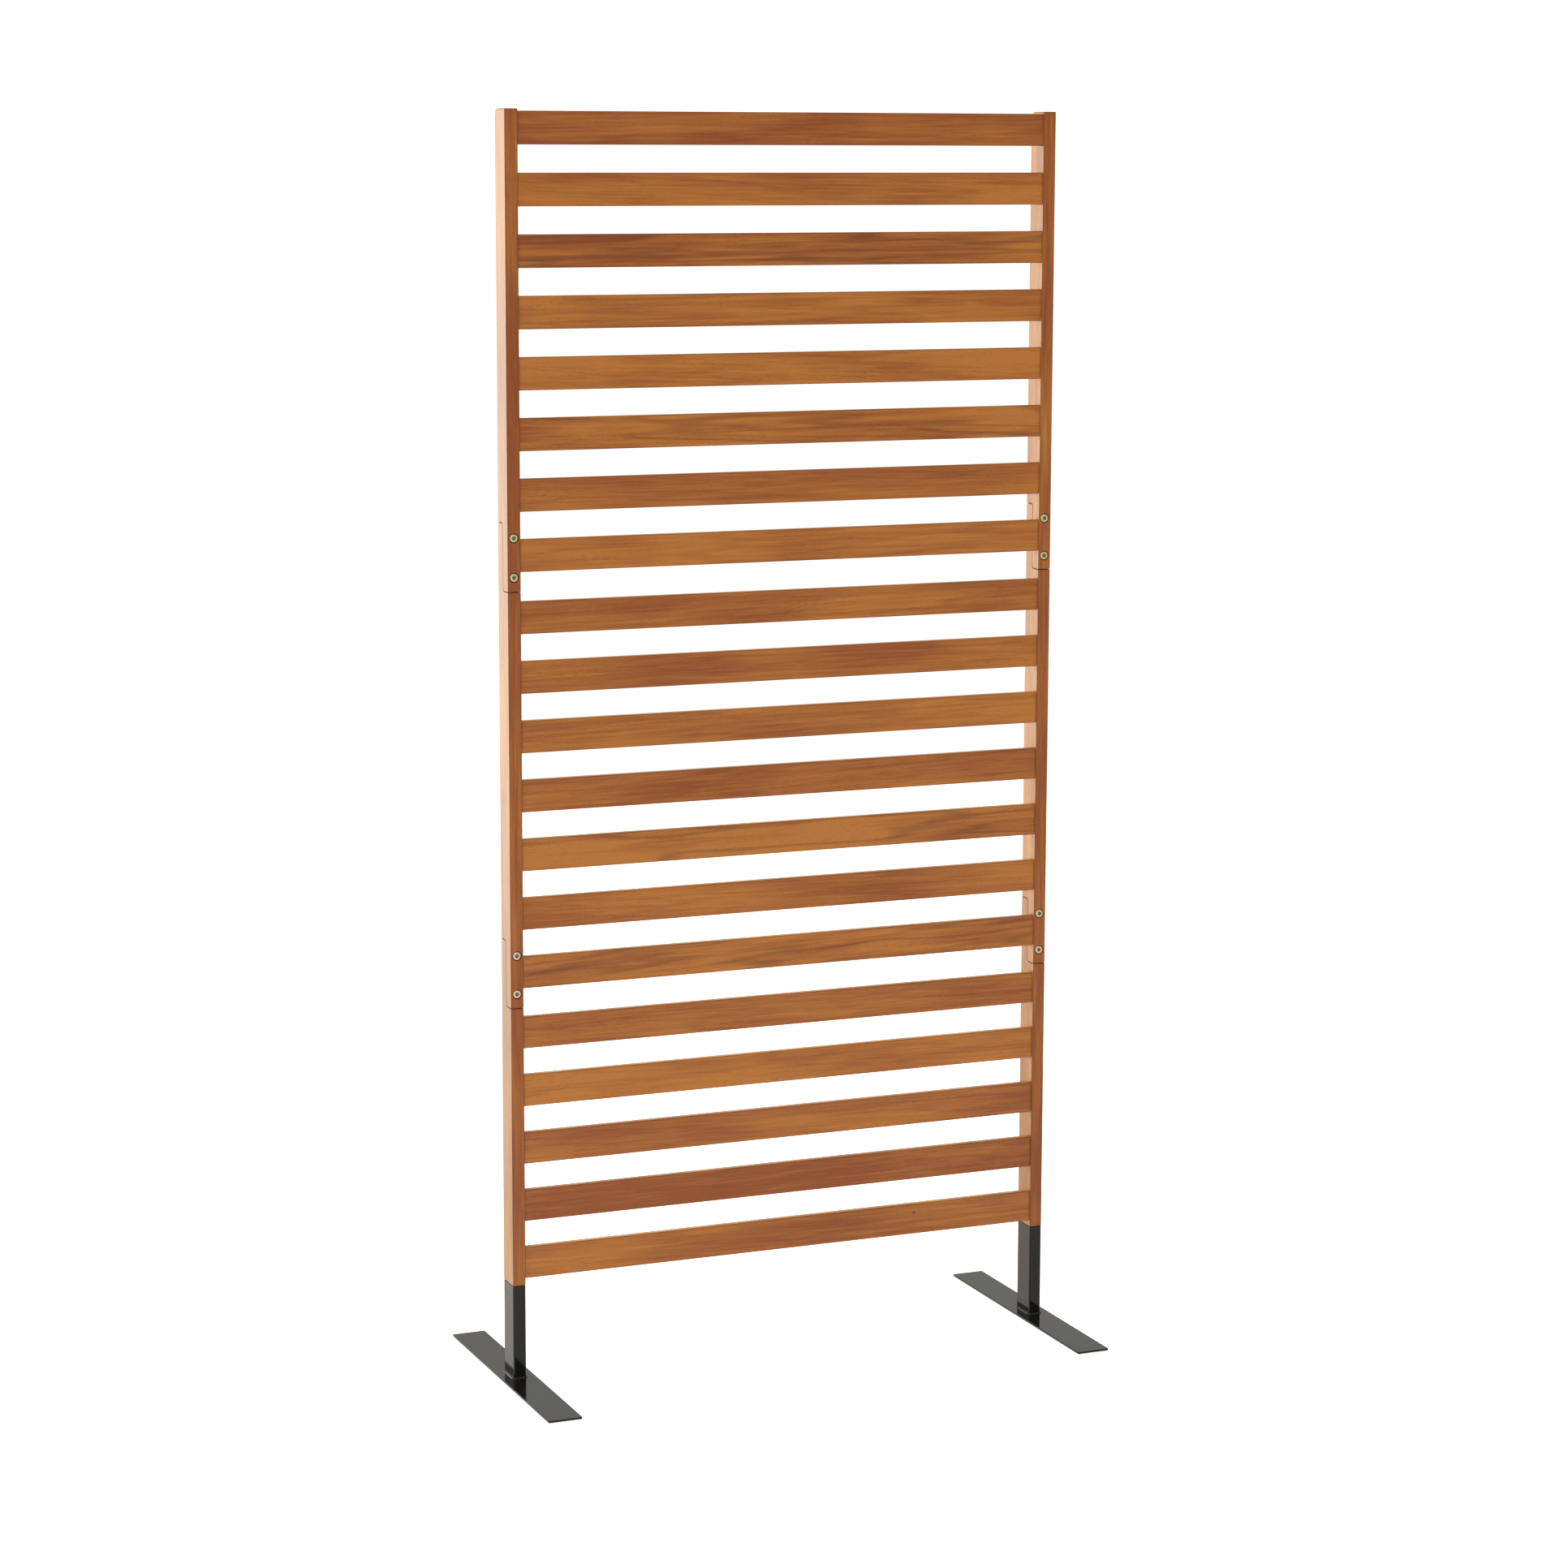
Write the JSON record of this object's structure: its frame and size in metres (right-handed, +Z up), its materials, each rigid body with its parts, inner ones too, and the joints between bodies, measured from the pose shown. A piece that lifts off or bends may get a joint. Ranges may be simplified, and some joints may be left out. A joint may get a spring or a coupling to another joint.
{
  "type": "slatted privacy screen",
  "caption": "Free-standing slatted hardwood privacy screen: stacked sections bolted together by half laps in the posts, on flat black steel feet.",
  "frame": {"origin": "on the floor, midway between the two feet and midway along the foot plates", "axes": "+Z up along the posts, +X along the slats to the viewer's right, the front looks along -Y"},
  "size_m": [0.871, 0.43, 1.8],
  "materials": {
    "slat_wood": "oiled hardwood, satin",
    "post_wood": "oiled hardwood, satin",
    "yellow_zinc_steel": "yellow passivated zinc",
    "insert_steel": "zinc plated",
    "black_powder_coat": "semi-gloss powder coat",
    "black_screw_steel": "black zinc"
  },
  "bodies": {
    "root": {"slat_01": "slat_wood", "slat_02": "slat_wood", "slat_03": "slat_wood", "slat_04": "slat_wood", "slat_05": "slat_wood", "slat_06": "slat_wood", "slat_07": "slat_wood", "slat_08": "slat_wood", "slat_09": "slat_wood", "slat_10": "slat_wood", "slat_11": "slat_wood", "slat_12": "slat_wood", "slat_13": "slat_wood", "slat_14": "slat_wood", "slat_15": "slat_wood", "slat_16": "slat_wood", "slat_17": "slat_wood", "slat_18": "slat_wood", "slat_19": "slat_wood", "slat_20": "slat_wood", "post_left_lower": "post_wood", "post_left_middle": "post_wood", "post_left_upper": "post_wood", "foot_plate_left": "black_powder_coat", "foot_upright_left": "black_powder_coat", "foot_weld_left": "black_powder_coat", "post_right_lower": "post_wood", "post_right_middle": "post_wood", "post_right_upper": "post_wood", "foot_plate_right": "black_powder_coat", "foot_upright_right": "black_powder_coat", "foot_weld_right": "black_powder_coat", "lap_bolts": "yellow_zinc_steel", "lap_insert_nuts": "insert_steel", "foot_screws": "black_screw_steel"}
  },
  "joints": []
}
